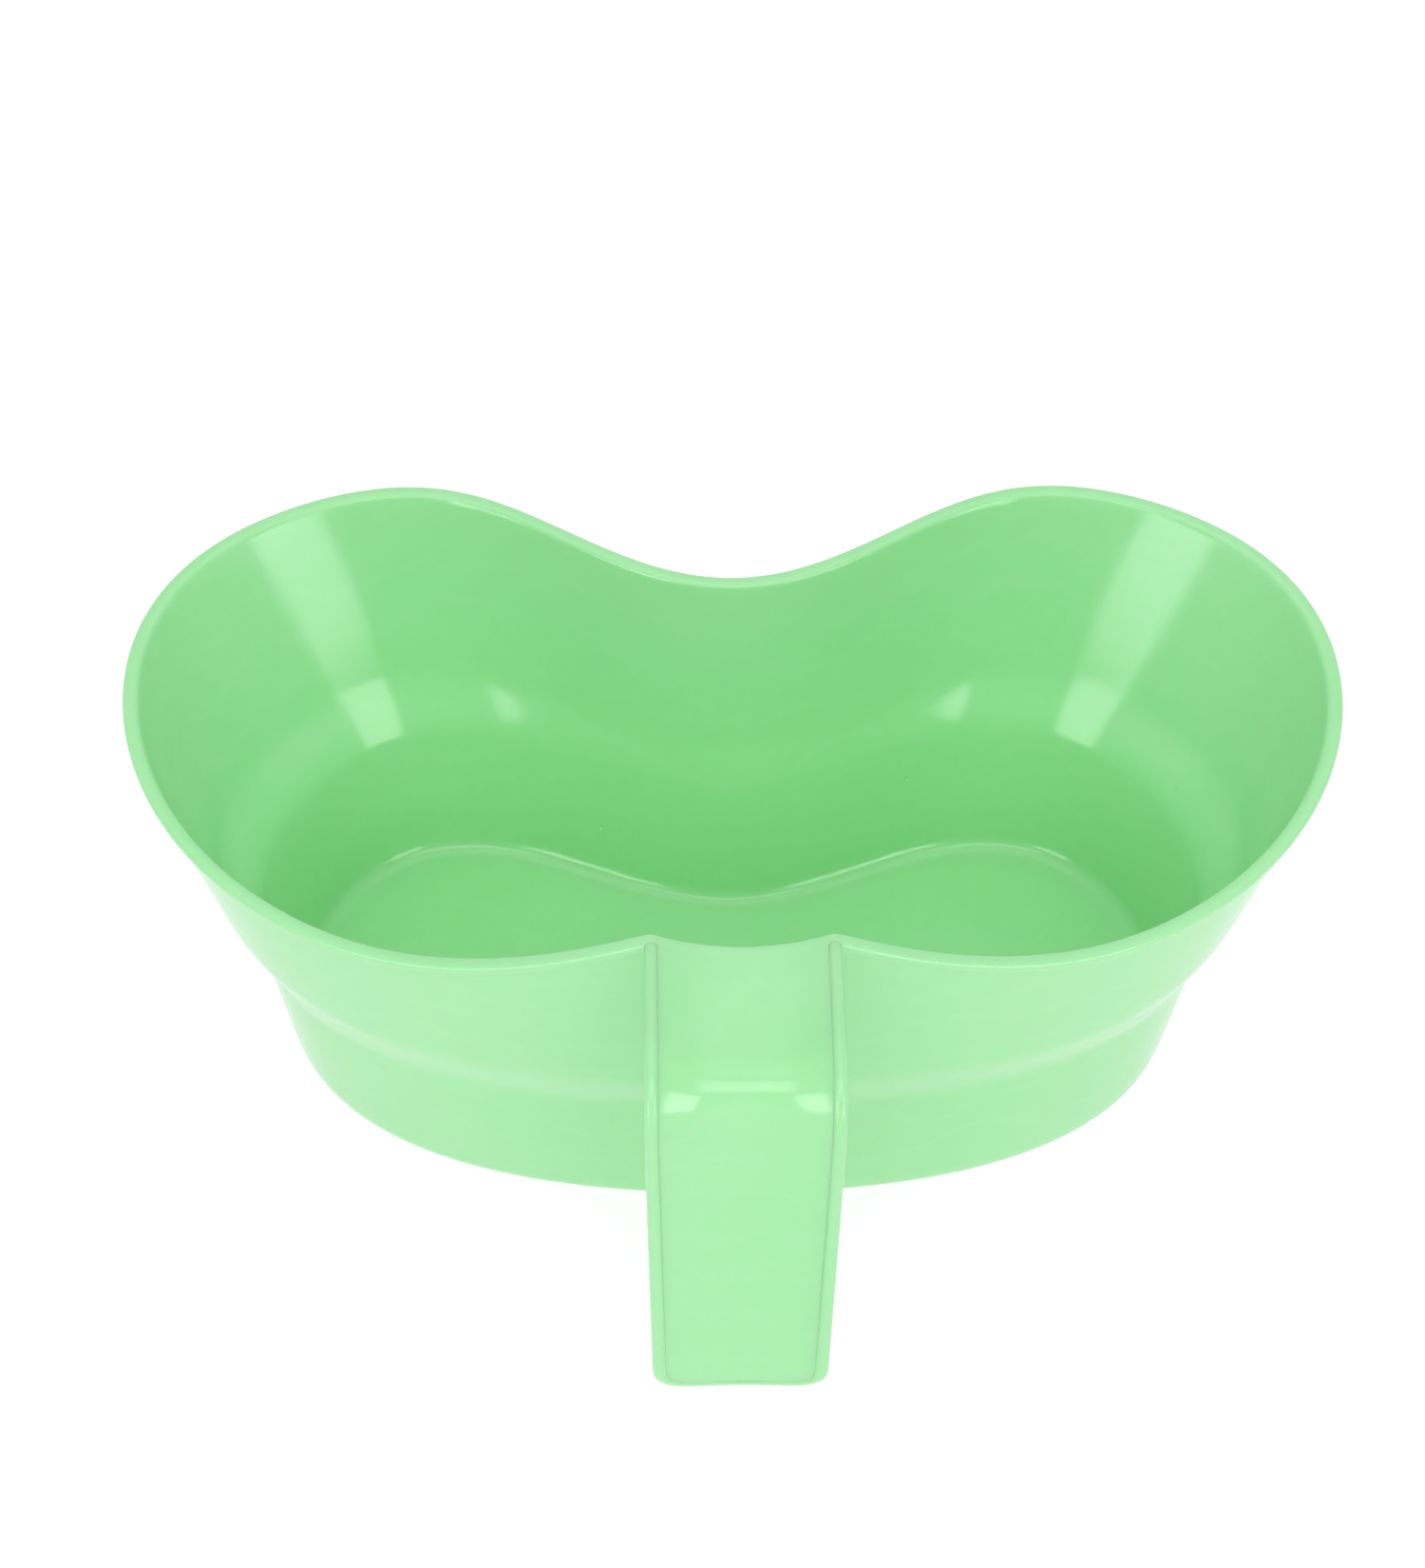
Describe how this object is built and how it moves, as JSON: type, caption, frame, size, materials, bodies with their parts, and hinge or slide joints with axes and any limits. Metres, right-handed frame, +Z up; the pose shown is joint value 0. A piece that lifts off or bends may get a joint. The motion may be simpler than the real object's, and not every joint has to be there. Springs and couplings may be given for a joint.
{
  "type": "kidney basin",
  "caption": "Kidney-shaped plastic basin with a flared wall, lipped rim and a downturned channel handle over the fingers.",
  "frame": {"origin": "middle of the overall box, handle included, on the surface that the basin stands on", "axes": "+X along the length of the kidney, -Y towards the handle, +Y towards the kidney's hollow, +Z up"},
  "size_m": [0.2602, 0.1905, 0.1031],
  "materials": {
    "mint_plastic": "glossy pale mint green polypropylene, as moulded"
  },
  "bodies": {
    "root": {"foot_ring": "mint_plastic", "sprue_mark": "mint_plastic", "basin_floor": "mint_plastic", "lower_wall": "mint_plastic", "shoulder": "mint_plastic", "flared_wall": "mint_plastic", "rim_lip": "mint_plastic", "handle_bridge": "mint_plastic", "handle_bend": "mint_plastic", "handle_grip": "mint_plastic", "handle_tip": "mint_plastic", "handle_edge_beads": "mint_plastic"}
  },
  "joints": []
}
